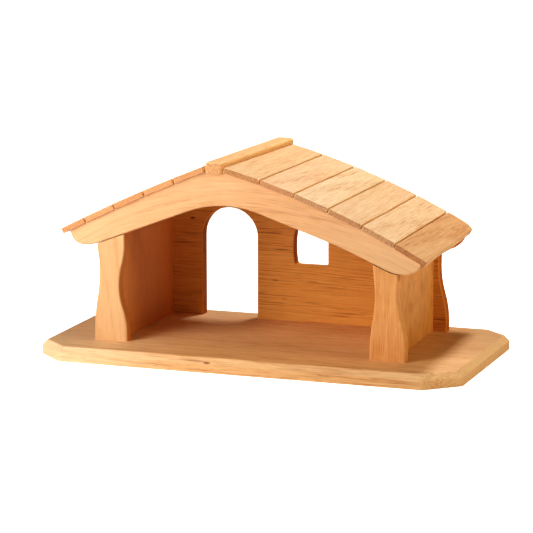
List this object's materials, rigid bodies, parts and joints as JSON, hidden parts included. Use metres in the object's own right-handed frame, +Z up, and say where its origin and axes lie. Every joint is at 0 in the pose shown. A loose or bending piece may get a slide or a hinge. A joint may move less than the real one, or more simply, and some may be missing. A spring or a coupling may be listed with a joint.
{
  "type": "nativity stable",
  "caption": "Open-fronted wooden stable with an off-centre plank roof on curved gables, waisted posts, an arched rear doorway, a window and a bevelled base, to stand figures in.",
  "frame": {"origin": "centre of the base board's underside, which is the face that the stable stands on", "axes": "+X along the open front to the viewer's right, +Y from the open front to the rear wall, +Z up"},
  "size_m": [0.4838, 0.2721, 0.2187],
  "materials": {
    "base_wood": "satin oiled",
    "post_wood": "satin oiled",
    "wall_wood": "satin oiled",
    "gable_wood": "satin oiled",
    "ridge_wood": "satin oiled",
    "roof_wood": "satin oiled",
    "joint_wood": "satin oiled"
  },
  "bodies": {
    "root": {"base_plate": "base_wood", "front_left_post": "post_wood", "front_right_post": "post_wood", "left_side_wall": "wall_wood", "right_side_wall": "wall_wood", "front_gable_board": "gable_wood", "rear_wall": "wall_wood", "ridge_beam": "ridge_wood", "ridge_dowels": "joint_wood", "left_roof_plank_1": "roof_wood", "left_roof_plank_2": "roof_wood", "left_roof_plank_3": "roof_wood", "left_roof_plank_4": "roof_wood", "left_roof_plank_5": "roof_wood", "right_roof_plank_1": "roof_wood", "right_roof_plank_2": "roof_wood", "right_roof_plank_3": "roof_wood", "right_roof_plank_4": "roof_wood", "right_roof_plank_5": "roof_wood", "right_roof_plank_6": "roof_wood", "post_foot_tongues": "joint_wood", "wall_foot_tongues": "joint_wood", "rear_wall_foot_tongues": "joint_wood", "gable_tongues": "joint_wood", "wall_front_tongues": "joint_wood", "wall_rear_tongues": "joint_wood"}
  },
  "joints": []
}
